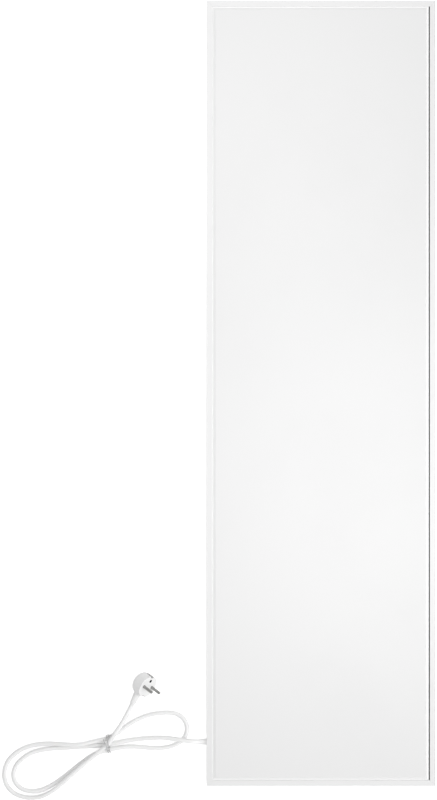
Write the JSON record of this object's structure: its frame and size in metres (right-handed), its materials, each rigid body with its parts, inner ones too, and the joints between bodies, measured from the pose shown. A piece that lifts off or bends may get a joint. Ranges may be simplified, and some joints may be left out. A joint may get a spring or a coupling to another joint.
{
  "type": "infrared panel heater",
  "caption": "Tall slim white infrared panel heater: framed radiant plate on wall pads and keyhole hangers, with a tied white mains lead and plug.",
  "frame": {"origin": "on the plane of the wall pads' feet, under the middle of the panel", "axes": "+Z out of the heating face; +Y up the panel, away from the end where the lead leaves; +X to the right seen from the front"},
  "size_m": [0.6637, 1.2237, 0.0434],
  "materials": {
    "frame_white": "satin powder coat",
    "plate_white": "fine matt powder coat",
    "film": "satin",
    "resistance_foil": "satin",
    "copper": "satin",
    "foil": "bright",
    "board": "matt, fibrous",
    "back_white": "matt",
    "zinc_steel": "zinc plated",
    "cast_aluminium": "matt",
    "box_plastic": "matt",
    "seal_rubber": "matt",
    "pad_rubber": "matt",
    "cord_white": "satin",
    "moulded_white": "satin",
    "tie_white": "satin",
    "nickel_brass": "nickel plated",
    "tinned_brass": "satin",
    "cutout_case": "matt",
    "core_brown": "satin",
    "core_blue": "satin",
    "core_earth": "satin"
  },
  "bodies": {
    "root": {"back_plate": "back_white", "back_plate_screws": "zinc_steel", "box_cover": "box_plastic", "box_seal": "seal_rubber", "busbar_left": "copper", "busbar_right": "copper", "clamp_screws": "zinc_steel", "cord_clamp": "box_plastic", "cord_hank": "cord_white", "cord_inner_run": "cord_white", "cord_panel_lead": "cord_white", "cord_plug_lead": "cord_white", "cord_tie": "tie_white", "corner_key_screws": "zinc_steel", "corner_keys": "cast_aluminium", "cover_screws": "zinc_steel", "earth_lead": "core_earth", "earth_nut": "zinc_steel", "earth_ring_terminal": "tinned_brass", "earth_stud": "zinc_steel", "earth_washer": "zinc_steel", "frame_rail_bottom": "frame_white", "frame_rail_left": "frame_white", "frame_rail_right": "frame_white", "frame_rail_top": "frame_white", "front_insulating_film": "film", "hanger_plate_lower_left": "zinc_steel", "hanger_plate_lower_right": "zinc_steel", "hanger_plate_upper_left": "zinc_steel", "hanger_plate_upper_right": "zinc_steel", "hanger_pocket_lower_left": "back_white", "hanger_pocket_lower_right": "back_white", "hanger_pocket_upper_left": "back_white", "hanger_pocket_upper_right": "back_white", "hanger_rivets": "zinc_steel", "heating_plate": "plate_white", "heating_strips": "resistance_foil", "insulation_board": "board", "junction_box": "box_plastic", "lead_to_cutout": "core_brown", "lead_to_left_busbar": "core_blue", "lead_to_right_busbar": "core_brown", "plug_body": "moulded_white", "plug_earth_clips": "nickel_brass", "plug_pins": "nickel_brass", "rear_insulating_film": "film", "reflector_foil": "foil", "strain_relief": "moulded_white", "supply_core_earth": "core_earth", "supply_core_live": "core_brown", "supply_core_neutral": "core_blue", "terminal_block": "box_plastic", "terminal_screws": "zinc_steel", "thermal_cutout": "cutout_case", "wall_pad_lower_left": "pad_rubber", "wall_pad_lower_right": "pad_rubber", "wall_pad_upper_left": "pad_rubber", "wall_pad_upper_right": "pad_rubber"}
  },
  "joints": []
}
